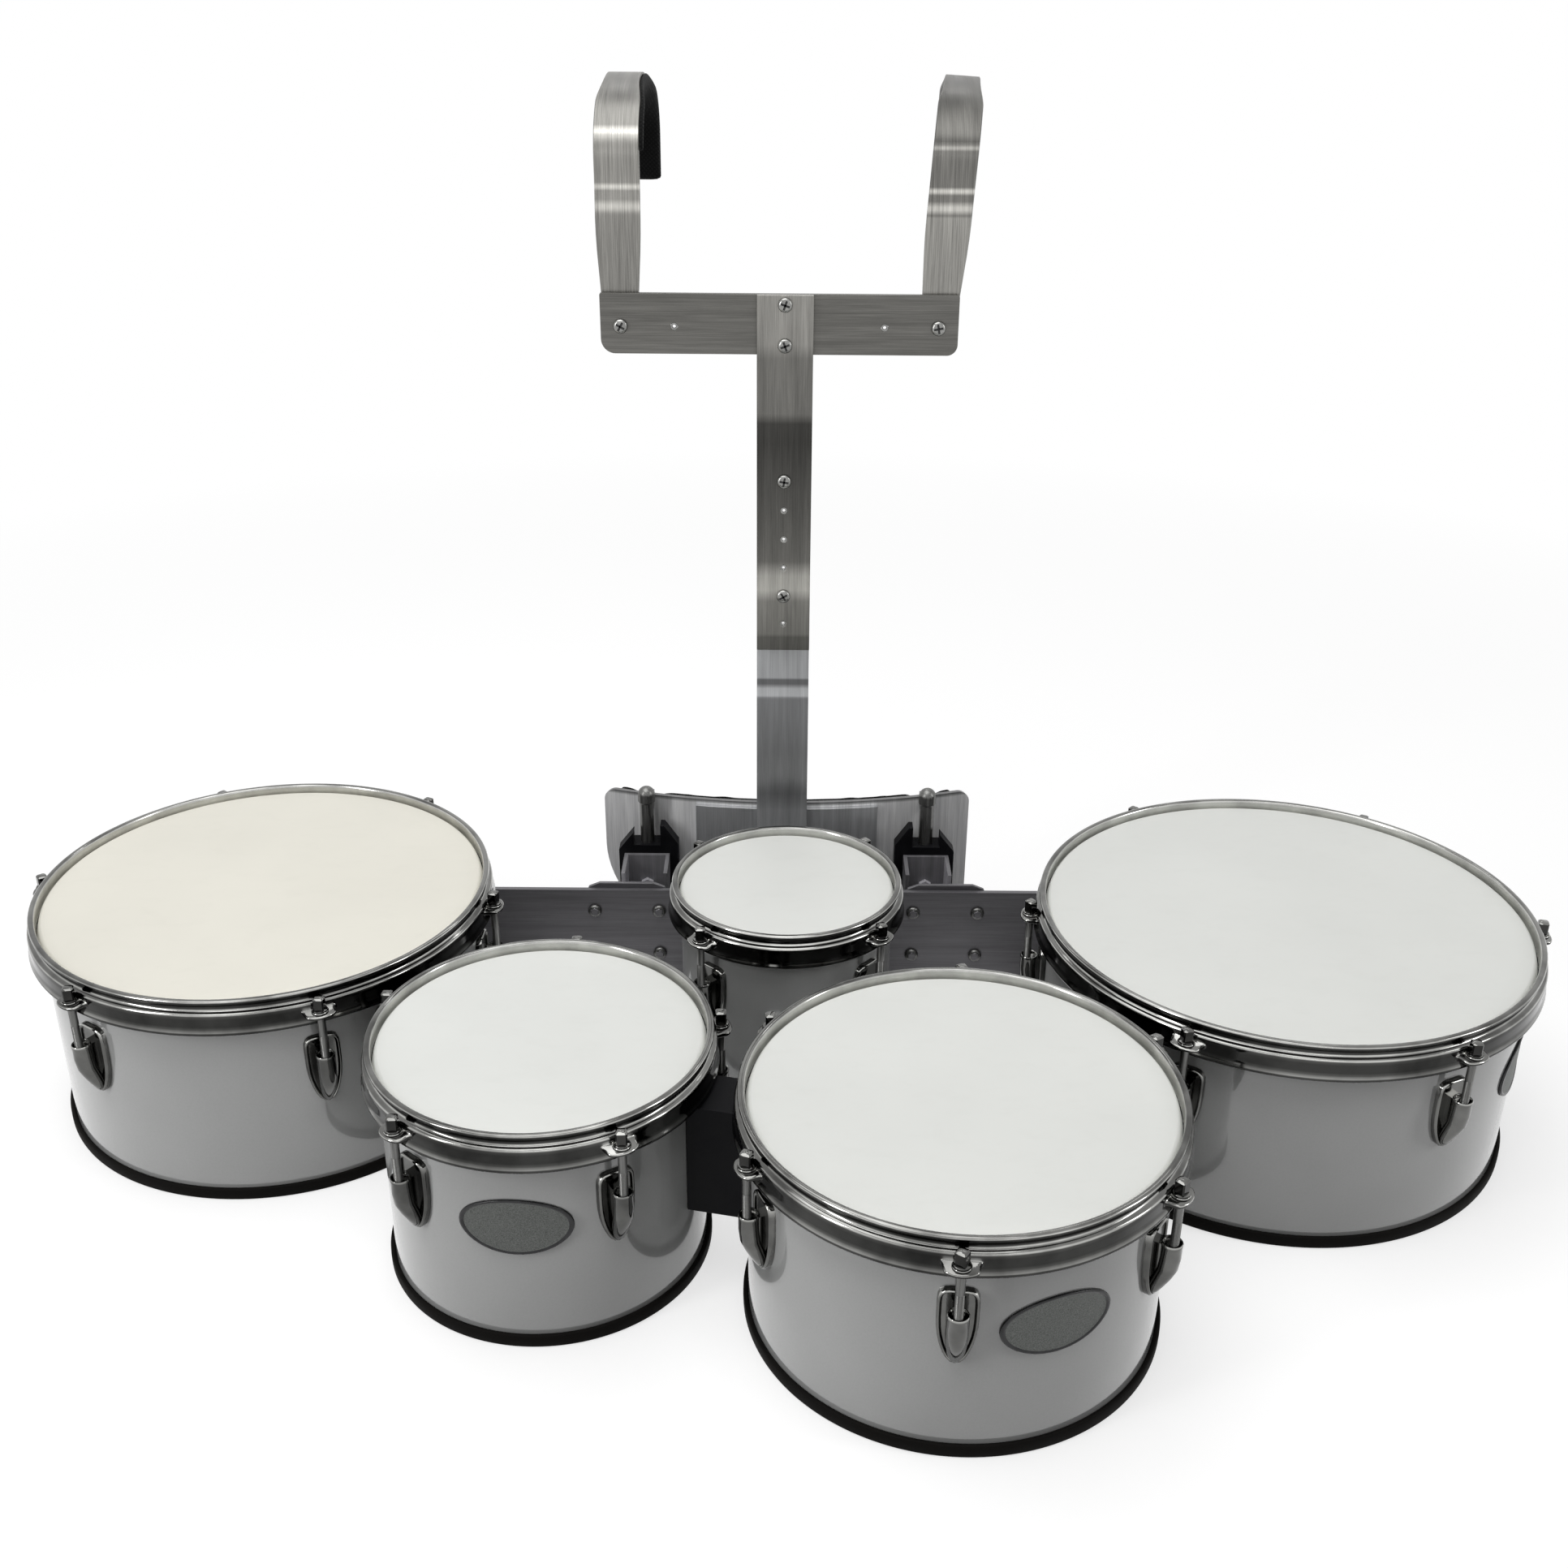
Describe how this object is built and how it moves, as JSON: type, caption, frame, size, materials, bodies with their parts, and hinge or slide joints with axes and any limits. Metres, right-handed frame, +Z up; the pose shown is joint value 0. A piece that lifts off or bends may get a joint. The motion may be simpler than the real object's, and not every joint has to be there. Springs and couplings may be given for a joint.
{
  "type": "marching tenor drums",
  "caption": "Single headed marching tom drums in an arc on a rack, hung from a belly plate and shoulder hook carrier with a height adjustable spine.",
  "frame": {"origin": "middle of the whole object's bounding box, on the floor plane under the shells", "axes": "+X to the right along the rack as the audience sees it, +Y from the audience to the player, +Z up"},
  "size_m": [1.0814, 0.716, 0.6835],
  "materials": {
    "shell_white": "white gloss lacquer",
    "head_white": "smooth white film",
    "head_cream": "smooth cream film",
    "chrome": "polished chrome",
    "black_rubber": "satin black",
    "badge_grey": "grey, dark rim",
    "brushed_plate": "dark brushed",
    "brushed_aluminium": "brushed",
    "polished_rod": "bright drawn",
    "fastener_steel": "bright zinc",
    "black_plastic": "black satin",
    "black_foam": "closed cell foam"
  },
  "bodies": {
    "drum_rack": {"drum_6_shell_and_lugs": "shell_white", "drum_6_head": "head_white", "drum_6_hoop_and_rods": "chrome", "drum_6_bottom_trim": "black_rubber", "drum_8_shell_and_lugs": "shell_white", "drum_8_head": "head_white", "drum_8_hoop_and_rods": "chrome", "drum_8_bottom_trim": "black_rubber", "drum_8_badge": "badge_grey", "drum_10_shell_and_lugs": "shell_white", "drum_10_head": "head_white", "drum_10_hoop_and_rods": "chrome", "drum_10_bottom_trim": "black_rubber", "drum_10_badge": "badge_grey", "drum_12_shell_and_lugs": "shell_white", "drum_12_head": "head_cream", "drum_12_hoop_and_rods": "chrome", "drum_12_bottom_trim": "black_rubber", "drum_13_shell_and_lugs": "shell_white", "drum_13_head": "head_white", "drum_13_hoop_and_rods": "chrome", "drum_13_bottom_trim": "black_rubber", "drum_13_badge": "badge_grey", "rack_plate": "brushed_plate", "rack_bolt_6": "fastener_steel", "rack_bolt_12": "fastener_steel", "rack_bolt_13": "fastener_steel", "receiver_left": "brushed_plate", "receiver_right": "brushed_plate", "spacer_12_8": "black_plastic", "spacer_bolt_12_8": "fastener_steel", "spacer_8_10": "black_plastic", "spacer_bolt_8_10": "fastener_steel", "spacer_10_13": "black_plastic", "spacer_bolt_10_13": "fastener_steel"},
    "clamps": {"clamp_channel_left": "brushed_plate", "clamp_block_left": "black_plastic", "tilt_bolt_left": "fastener_steel", "clamp_channel_right": "brushed_plate", "clamp_block_right": "black_plastic", "tilt_bolt_right": "fastener_steel"},
    "belly_carrier": {"carrier_rod_left": "polished_rod", "carrier_rod_right": "polished_rod", "belly_plate": "brushed_plate", "belly_pad": "black_foam", "lower_spine": "brushed_aluminium", "belly_screw_1": "fastener_steel", "belly_screw_2": "fastener_steel"},
    "shoulder_frame": {"upper_spine": "brushed_aluminium", "shoulder_crossbar": "brushed_aluminium", "height_screw_1": "fastener_steel", "height_screw_2": "fastener_steel", "crossbar_screw_1": "fastener_steel", "crossbar_screw_2": "fastener_steel"},
    "left_shoulder_hook": {"left_shoulder_bar": "brushed_aluminium", "left_shoulder_pad": "black_foam", "left_shoulder_bolt": "fastener_steel"},
    "right_shoulder_hook": {"right_shoulder_bar": "brushed_aluminium", "right_shoulder_pad": "black_foam", "right_shoulder_bolt": "fastener_steel"}
  },
  "joints": [
    {"name": "rack_tilt", "type": "hinge", "parent": "drum_rack", "child": "clamps", "pos_m": [0.0052, 0.15, 0.054], "axis": [1, 0, 0], "range_deg": [-10, 10]},
    {"name": "carrier_lift", "type": "slide", "parent": "clamps", "child": "belly_carrier", "axis": [0, 0, 1], "range_m": [-0.025, 0.021]},
    {"name": "spine_height", "type": "slide", "parent": "belly_carrier", "child": "shoulder_frame", "axis": [0, 0, 1], "range_m": [-0.022, 0.044]},
    {"name": "left_shoulder_swivel", "type": "hinge", "parent": "shoulder_frame", "child": "left_shoulder_hook", "pos_m": [-0.1138, 0.179, 0.526], "axis": [0, 1, 0], "range_deg": [-8, 8]},
    {"name": "right_shoulder_swivel", "type": "hinge", "parent": "shoulder_frame", "child": "right_shoulder_hook", "pos_m": [0.1082, 0.179, 0.526], "axis": [0, 1, 0], "range_deg": [-11.5, 4.5]}
  ]
}
